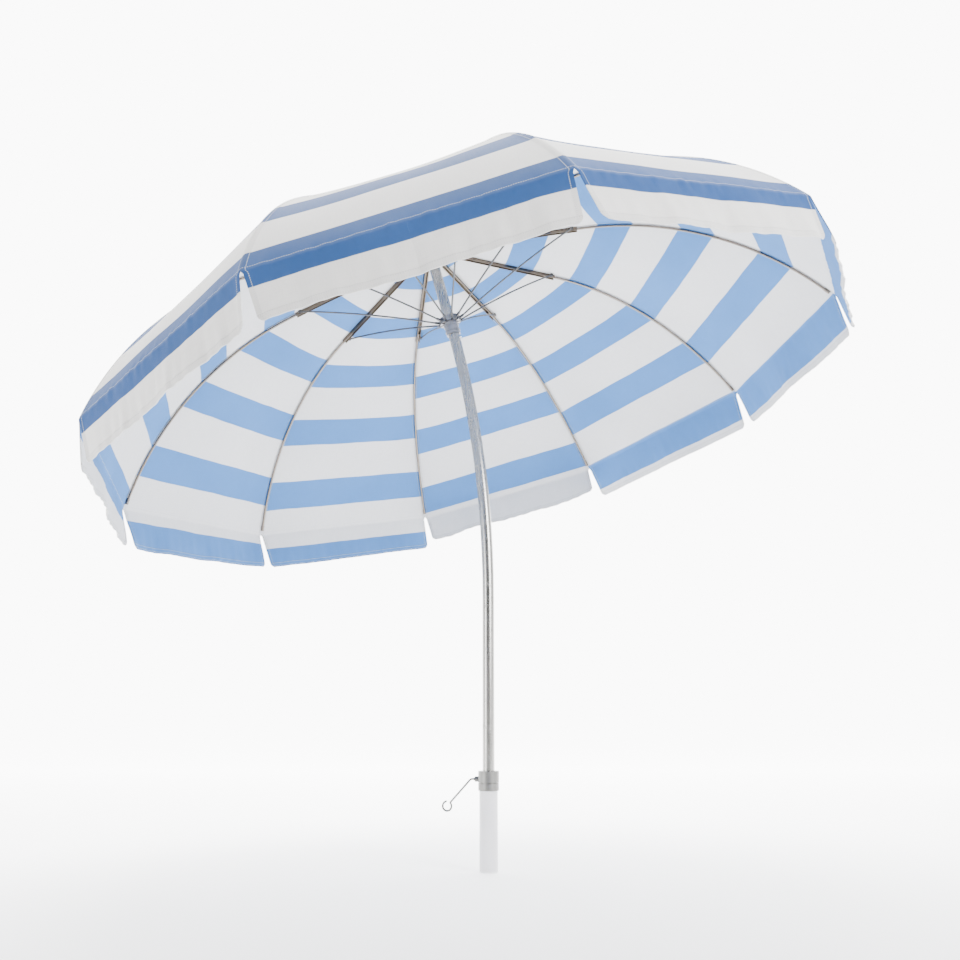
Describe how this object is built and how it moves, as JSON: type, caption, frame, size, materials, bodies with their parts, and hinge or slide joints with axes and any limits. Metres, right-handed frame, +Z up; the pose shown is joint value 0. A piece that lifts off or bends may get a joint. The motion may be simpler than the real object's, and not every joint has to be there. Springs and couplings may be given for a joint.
{
  "type": "beach umbrella",
  "caption": "Tilted beach umbrella: striped ribbed canopy with valance on a bent metal pole, with sliding runner, stretchers and a clamped lower tube.",
  "frame": {"origin": "centre of the lower tube's foot", "axes": "+Z up along the lower tube; the pole bends and the canopy leans towards -X"},
  "size_m": [1.6227, 1.6722, 1.4217],
  "materials": {
    "white_tube": "satin white",
    "white_plug": "moulded",
    "collar_metal": "cast, dull grey",
    "screw_metal": "zinc plated wire",
    "bush_plastic": "moulded",
    "pole_aluminium": "polished tube",
    "crown_metal": "cast",
    "wire_metal": "drawn wire",
    "cap_plastic": "moulded white",
    "runner_metal": "cast, toothed",
    "catch_metal": "bright spring steel",
    "channel_metal": "folded strip, aged",
    "rod_metal": "bright rod",
    "stretcher_metal": "drawn wire",
    "canopy_fabric": "woven, blue and white stripes"
  },
  "bodies": {
    "base": {"lower_tube": "white_tube", "tube_end_plug": "white_plug", "collar_socket": "collar_metal", "clamp_ring": "collar_metal", "clamp_nut": "screw_metal"},
    "clamp_screw": {"clamp_screw": "screw_metal"},
    "guide": {"guide_bush": "bush_plastic"},
    "pole": {"upper_pole": "pole_aluminium", "crown_notch": "crown_metal", "crown_wire": "wire_metal", "crown_washer": "crown_metal", "top_cap": "cap_plastic"},
    "runner": {"runner_flange": "runner_metal", "runner_wire": "wire_metal", "runner_sleeve": "runner_metal", "runner_bands": "runner_metal"},
    "catch": {"runner_catch": "catch_metal"},
    "rib_01": {"rib_channel_01": "channel_metal", "rib_rod_01": "rod_metal", "canopy_panel_01": "canopy_fabric"},
    "stretcher_01": {"stretcher_01": "stretcher_metal"},
    "rib_02": {"rib_channel_02": "channel_metal", "rib_rod_02": "rod_metal", "canopy_panel_02": "canopy_fabric"},
    "stretcher_02": {"stretcher_02": "stretcher_metal"},
    "rib_03": {"rib_channel_03": "channel_metal", "rib_rod_03": "rod_metal", "canopy_panel_03": "canopy_fabric"},
    "stretcher_03": {"stretcher_03": "stretcher_metal"},
    "rib_04": {"rib_channel_04": "channel_metal", "rib_rod_04": "rod_metal", "canopy_panel_04": "canopy_fabric"},
    "stretcher_04": {"stretcher_04": "stretcher_metal"},
    "rib_05": {"rib_channel_05": "channel_metal", "rib_rod_05": "rod_metal", "canopy_panel_05": "canopy_fabric"},
    "stretcher_05": {"stretcher_05": "stretcher_metal"},
    "rib_06": {"rib_channel_06": "channel_metal", "rib_rod_06": "rod_metal", "canopy_panel_06": "canopy_fabric"},
    "stretcher_06": {"stretcher_06": "stretcher_metal"},
    "rib_07": {"rib_channel_07": "channel_metal", "rib_rod_07": "rod_metal", "canopy_panel_07": "canopy_fabric"},
    "stretcher_07": {"stretcher_07": "stretcher_metal"},
    "rib_08": {"rib_channel_08": "channel_metal", "rib_rod_08": "rod_metal", "canopy_panel_08": "canopy_fabric"},
    "stretcher_08": {"stretcher_08": "stretcher_metal"},
    "rib_09": {"rib_channel_09": "channel_metal", "rib_rod_09": "rod_metal", "canopy_panel_09": "canopy_fabric"},
    "stretcher_09": {"stretcher_09": "stretcher_metal"},
    "rib_10": {"rib_channel_10": "channel_metal", "rib_rod_10": "rod_metal", "canopy_panel_10": "canopy_fabric"},
    "stretcher_10": {"stretcher_10": "stretcher_metal"}
  },
  "joints": [
    {"name": "clamp_turn", "type": "hinge", "parent": "base", "child": "clamp_screw", "pos_m": [-0.03, 0, 0.18], "axis": [-1, 0, 0], "range_deg": [0, 360]},
    {"name": "pole_height", "type": "slide", "parent": "base", "child": "guide", "axis": [0, 0, 1], "range_m": [0, 0.08]},
    {"name": "pole_turn", "type": "hinge", "parent": "guide", "child": "pole", "pos_m": [0, 0, 0.041], "axis": [0, 0, 1], "continuous": true},
    {"name": "runner_travel", "type": "hinge", "parent": "pole", "child": "runner", "pos_m": [-2.29, 0, 0.555], "axis": [0, 1, 0], "range_deg": [0, 10.6], "deforming": ["canopy_panel_01", "canopy_panel_02", "canopy_panel_03", "canopy_panel_04", "canopy_panel_05", "canopy_panel_06", "canopy_panel_07", "canopy_panel_08", "canopy_panel_09", "canopy_panel_10", "runner_catch"]},
    {"name": "catch_press", "type": "slide", "parent": "pole", "child": "catch", "axis": [-0.9622, 0, -0.2723], "range_m": [0, 0.0035], "stiffness_N_per_m": 200},
    {"name": "rib_fold_01", "type": "hinge", "parent": "pole", "child": "rib_01", "pos_m": [-0.12309, 0.0033, 1.38019], "axis": [-0.1588, 0.9863, -0.0449], "range_deg": [0, 54.2]},
    {"name": "stretcher_fold_01", "type": "hinge", "parent": "runner", "child": "stretcher_01", "pos_m": [-0.07142, 0.00338, 1.19942], "axis": [0.1588, -0.9863, 0.0449], "range_deg": [0, 46.66]},
    {"name": "rib_fold_02", "type": "hinge", "parent": "pole", "child": "rib_02", "pos_m": [-0.12858, 0.01426, 1.37863], "axis": [-0.6863, 0.7009, -0.1942], "range_deg": [0, 54.2]},
    {"name": "stretcher_fold_02", "type": "hinge", "parent": "runner", "child": "stretcher_02", "pos_m": [-0.07705, 0.01462, 1.19783], "axis": [0.6863, -0.7009, 0.1942], "range_deg": [0, 44.59]},
    {"name": "rib_fold_03", "type": "hinge", "parent": "pole", "child": "rib_03", "pos_m": [-0.13922, 0.01978, 1.37562], "axis": [-0.9516, 0.1478, -0.2693], "range_deg": [0, 54.2]},
    {"name": "stretcher_fold_03", "type": "hinge", "parent": "runner", "child": "stretcher_03", "pos_m": [-0.08796, 0.02027, 1.19474], "axis": [0.9516, -0.1478, 0.2693], "range_deg": [0, 40.63]},
    {"name": "rib_fold_04", "type": "hinge", "parent": "pole", "child": "rib_04", "pos_m": [-0.15095, 0.01774, 1.3723], "axis": [-0.8535, -0.4617, -0.2415], "range_deg": [0, 54.2]},
    {"name": "stretcher_fold_04", "type": "hinge", "parent": "runner", "child": "stretcher_04", "pos_m": [-0.09999, 0.01818, 1.19134], "axis": [0.8535, 0.4617, 0.2415], "range_deg": [0, 36.3]},
    {"name": "rib_fold_05", "type": "hinge", "parent": "pole", "child": "rib_05", "pos_m": [-0.15929, 0.00892, 1.36994], "axis": [-0.4293, -0.8949, -0.1215], "range_deg": [0, 54.2]},
    {"name": "stretcher_fold_05", "type": "hinge", "parent": "runner", "child": "stretcher_05", "pos_m": [-0.10853, 0.00915, 1.18892], "axis": [0.4293, 0.8949, 0.1215], "range_deg": [0, 33.26]},
    {"name": "rib_fold_06", "type": "hinge", "parent": "pole", "child": "rib_06", "pos_m": [-0.16105, -0.0033, 1.36944], "axis": [0.1588, -0.9863, 0.0449], "range_deg": [0, 54.2]},
    {"name": "stretcher_fold_06", "type": "hinge", "parent": "runner", "child": "stretcher_06", "pos_m": [-0.11033, -0.00338, 1.18841], "axis": [-0.1588, 0.9863, -0.0449], "range_deg": [0, 32.63]},
    {"name": "rib_fold_07", "type": "hinge", "parent": "pole", "child": "rib_07", "pos_m": [-0.15555, -0.01426, 1.371], "axis": [0.6863, -0.7009, 0.1942], "range_deg": [0, 54.2]},
    {"name": "stretcher_fold_07", "type": "hinge", "parent": "runner", "child": "stretcher_07", "pos_m": [-0.1047, -0.01462, 1.19], "axis": [-0.6863, 0.7009, -0.1942], "range_deg": [0, 34.62]},
    {"name": "rib_fold_08", "type": "hinge", "parent": "pole", "child": "rib_08", "pos_m": [-0.14491, -0.01978, 1.37401], "axis": [0.9516, -0.1478, 0.2693], "range_deg": [0, 54.2]},
    {"name": "stretcher_fold_08", "type": "hinge", "parent": "runner", "child": "stretcher_08", "pos_m": [-0.09379, -0.02027, 1.19309], "axis": [-0.9516, 0.1478, -0.2693], "range_deg": [0, 38.52]},
    {"name": "rib_fold_09", "type": "hinge", "parent": "pole", "child": "rib_09", "pos_m": [-0.13318, -0.01774, 1.37733], "axis": [0.8535, 0.4617, 0.2415], "range_deg": [0, 54.2]},
    {"name": "stretcher_fold_09", "type": "hinge", "parent": "runner", "child": "stretcher_09", "pos_m": [-0.08177, -0.01818, 1.19649], "axis": [-0.8535, -0.4617, -0.2415], "range_deg": [0, 42.88]},
    {"name": "rib_fold_10", "type": "hinge", "parent": "pole", "child": "rib_10", "pos_m": [-0.12484, -0.00892, 1.37969], "axis": [0.4293, 0.8949, 0.1215], "range_deg": [0, 54.2]},
    {"name": "stretcher_fold_10", "type": "hinge", "parent": "runner", "child": "stretcher_10", "pos_m": [-0.07322, -0.00915, 1.19891], "axis": [-0.4293, -0.8949, -0.1215], "range_deg": [0, 45.99]}
  ],
  "couplings": [
    {"joint": "rib_fold_01", "follows": "runner_travel", "ratio": 5.0943},
    {"joint": "stretcher_fold_01", "follows": "runner_travel", "ratio": 4.383},
    {"joint": "rib_fold_02", "follows": "runner_travel", "ratio": 5.0943},
    {"joint": "stretcher_fold_02", "follows": "runner_travel", "ratio": 4.188},
    {"joint": "rib_fold_03", "follows": "runner_travel", "ratio": 5.0943},
    {"joint": "stretcher_fold_03", "follows": "runner_travel", "ratio": 3.814},
    {"joint": "rib_fold_04", "follows": "runner_travel", "ratio": 5.0943},
    {"joint": "stretcher_fold_04", "follows": "runner_travel", "ratio": 3.406},
    {"joint": "rib_fold_05", "follows": "runner_travel", "ratio": 5.0943},
    {"joint": "stretcher_fold_05", "follows": "runner_travel", "ratio": 3.119},
    {"joint": "rib_fold_06", "follows": "runner_travel", "ratio": 5.0943},
    {"joint": "stretcher_fold_06", "follows": "runner_travel", "ratio": 3.059},
    {"joint": "rib_fold_07", "follows": "runner_travel", "ratio": 5.0943},
    {"joint": "stretcher_fold_07", "follows": "runner_travel", "ratio": 3.247},
    {"joint": "rib_fold_08", "follows": "runner_travel", "ratio": 5.0943},
    {"joint": "stretcher_fold_08", "follows": "runner_travel", "ratio": 3.615},
    {"joint": "rib_fold_09", "follows": "runner_travel", "ratio": 5.0943},
    {"joint": "stretcher_fold_09", "follows": "runner_travel", "ratio": 4.026},
    {"joint": "rib_fold_10", "follows": "runner_travel", "ratio": 5.0943},
    {"joint": "stretcher_fold_10", "follows": "runner_travel", "ratio": 4.32}
  ]
}
